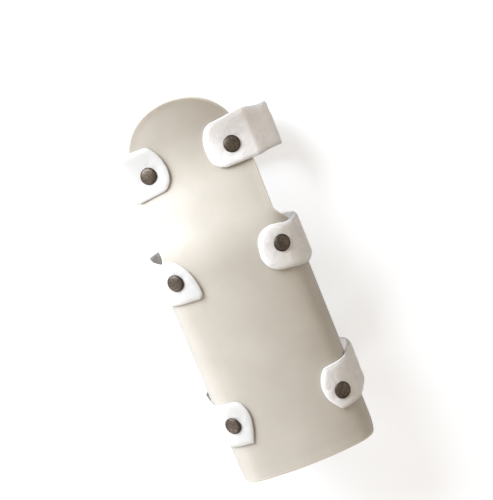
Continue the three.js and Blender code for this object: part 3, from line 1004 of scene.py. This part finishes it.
# ------------------------------------------------------------------ rivets
CAP_RADIUS = 4.7
CAP_HEIGHT = 1.6
CAP_SINK = 0.5
CAP_SEAT = TAPE_GAP + TAPE_THICKNESS - CAP_SINK
BACK_RADIUS = 3.5
BACK_HEIGHT = 1.5
BACK_GAP = 0.02
BACK_SEAT = -PLATE_THICKNESS - BACK_GAP
POST_RADIUS = 1.4
# The back carries this much of the post, and the cap carries the rest.
BACK_STUB = 0.1
RIVET_SEGMENTS = 48
# Rolled rim of a cap, as (part of its radius, part of its height).
ROLLED_RIM = [(0.93, 0.0), (0.985, 0.06), (1.0, 0.16), (0.995, 0.27)]
DOME_STEPS = 9
DOME_RADIUS = 0.97
DOME_FOOT = 0.30
DOME_ROUNDNESS = (0.75, 1.15)
RIM_SHADE_START = 0.72


def dome_profile(radius, seat, height, post_end):
    """(radius, height) from the post's end, out under the cap and up over its dome."""
    profile = [(0.0, post_end), (POST_RADIUS, post_end), (POST_RADIUS, seat)]
    profile += [(radius * out, seat + height * up) for out, up in ROLLED_RIM]
    for k in range(1, DOME_STEPS + 1):
        angle = math.pi / 2 * k / DOME_STEPS
        out = DOME_RADIUS * math.cos(angle) ** DOME_ROUNDNESS[0] if k < DOME_STEPS else 0.0
        up = DOME_FOOT + (1 - DOME_FOOT) * math.sin(angle) ** DOME_ROUNDNESS[1]
        profile.append((radius * out, seat + height * up))
    return profile


def make_lathe(name, profile, place, radius):
    """A turned piece; its rim attribute runs from 0 on the dome to 1 at the edge."""
    mesh = bpy.data.meshes.new(name)
    bm = bmesh.new()
    rim_layer = bm.verts.layers.float.new("rim")
    rings = []
    for r, h in profile:
        count = 1 if r < 1e-6 else RIVET_SEGMENTS
        ring = []
        for k in range(count):
            angle = WHOLE_TURN * k / RIVET_SEGMENTS
            point = place @ Vector((r * math.cos(angle), r * math.sin(angle), h))
            vert = bm.verts.new(point * MM)
            vert[rim_layer] = smooth((r / radius - RIM_SHADE_START) / (1 - RIM_SHADE_START))
            ring.append(vert)
        rings.append(ring)
    for lower, upper in zip(rings, rings[1:]):
        for k in range(RIVET_SEGMENTS):
            j = (k + 1) % RIVET_SEGMENTS
            if len(lower) == 1:
                bm.faces.new([lower[0], upper[j], upper[k]])
            elif len(upper) == 1:
                bm.faces.new([lower[k], lower[j], upper[0]])
            else:
                bm.faces.new([lower[k], lower[j], upper[j], upper[k]])
    bmesh.ops.recalc_face_normals(bm, faces=bm.faces)
    for face in bm.faces:
        face.smooth = True
    bm.to_mesh(mesh)
    bm.free()
    piece = bpy.data.objects.new(name, mesh)
    SCENE.collection.objects.link(piece)
    piece.data.materials.append(MATERIALS["rivet"])
    return piece


def make_rivets():
    for row_name, row in ROWS.items():
        for side_name, side in SIDES.items():
            strap = row[side_name]
            s, t = row["s"] + strap["rivet_ahead"], side * strap["rivet"]
            normal = plate_normal(s, t)
            turn = Vector((0, 0, 1)).rotation_difference(normal).to_matrix().to_4x4()
            at = Matrix.Translation(plate_point(s, t, 0.0)) @ turn
            label = f"{row_name}_{side_name}"
            cap_seat = CAP_SEAT + strap["raised"]
            cap_profile = dome_profile(CAP_RADIUS, cap_seat, CAP_HEIGHT, BACK_SEAT + BACK_STUB)
            cap = make_lathe(f"rivet_dome_{label}", cap_profile, at, CAP_RADIUS)
            back_profile = dome_profile(BACK_RADIUS, -BACK_SEAT, BACK_HEIGHT, -BACK_SEAT - BACK_STUB)
            flipped = at @ Matrix.Rotation(math.pi, 4, "X")
            back = make_lathe(f"rivet_button_{label}", back_profile, flipped, BACK_RADIUS)
            for piece, node in ((cap, "rivet_cap"), (back, "rivet_back")):
                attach(piece, "plate")
                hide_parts(f"{node}_{label}")


# ------------------------------------------------------------------ floor and light
FLOOR_HALF = 6.0
FLOOR_Z = -0.0005
FLOOR_COLOURS = ((0.64, 0.655, 0.68), (0.66, 0.675, 0.70))
FLOOR_SEEN_GLOW = 0.53
BACKDROP_COLOUR = (0.93, 0.93, 0.93, 1)
SKY_COLOUR = (1.0, 0.868, 0.70, 1)
SKY_STRENGTH = 0.408
LIGHT_AIM = Vector((0, 0, 0.04))
# Each light: direction from the splint, distance and width in metres, watts, colour.
LIGHTS = {
    "key": ((-0.50, 0.77, 0.39), 1.3, 1.0, 36.0, (0.86, 0.915, 0.99)),
    "fill": ((0.85, -0.25, 0.45), 1.6, 1.2, 2.3, (1.0, 0.95, 0.88)),
    "side": ((-0.75, -0.60, 0.28), 1.3, 0.9, 6.5, (0.91, 0.93, 1.0)),
}


def make_stage():
    mesh = bpy.data.meshes.new("floor")
    bm = bmesh.new()
    bmesh.ops.create_grid(bm, x_segments=8, y_segments=8, size=FLOOR_HALF)
    bm.to_mesh(mesh)
    bm.free()
    floor = bpy.data.objects.new("floor", mesh)
    floor.location = (0, 0, FLOOR_Z)
    SCENE.collection.objects.link(floor)
    n = Nodes("floor_white")
    tone = n.noise(n.place(), 3.0, 2.0)
    n.link(n.mix(tone, *FLOOR_COLOURS), n.shader.inputs["Base Color"])
    n.set(Roughness=0.9, Specular_IOR_Level=0.1)
    n.shader.inputs["Emission Color"].default_value = (1, 1, 1, 1)
    seen = n.tree.nodes.new("ShaderNodeLightPath").outputs["Is Camera Ray"]
    n.link(n.math("MULTIPLY", seen, FLOOR_SEEN_GLOW), n.shader.inputs["Emission Strength"])
    floor.data.materials.append(n.material)


def add_light(name, direction, distance, size, power, colour):
    data = bpy.data.lights.new(name, "AREA")
    data.shape = "DISK"
    data.size = size
    data.energy = power
    data.color = colour
    light = bpy.data.objects.new(name, data)
    SCENE.collection.objects.link(light)
    aim = Vector(direction).normalized()
    light.location = aim * distance + LIGHT_AIM
    light.rotation_euler = aim.to_track_quat("Z", "Y").to_euler()


def light_scene():
    """A soft studio: the camera sees a pale backdrop, and the splint is lit by a warmer sky."""
    world = bpy.data.worlds.new("studio")
    SCENE.world = world
    world.use_nodes = True
    nodes, links = world.node_tree.nodes, world.node_tree.links
    sky = nodes["Background"]
    sky.inputs["Color"].default_value = SKY_COLOUR
    sky.inputs["Strength"].default_value = SKY_STRENGTH
    backdrop = nodes.new("ShaderNodeBackground")
    backdrop.inputs["Color"].default_value = BACKDROP_COLOUR
    seen = nodes.new("ShaderNodeLightPath")
    mixed = nodes.new("ShaderNodeMixShader")
    links.new(seen.outputs["Is Camera Ray"], mixed.inputs["Fac"])
    links.new(sky.outputs[0], mixed.inputs[1])
    links.new(backdrop.outputs[0], mixed.inputs[2])
    links.new(mixed.outputs[0], nodes["World Output"].inputs["Surface"])
    for name, settings in LIGHTS.items():
        add_light(name, *settings)
    SCENE.view_settings.view_transform = "Standard"


# ------------------------------------------------------------------ build
add_camera()
make_plate()
make_tapes()
make_rivets()
make_stage()
light_scene()
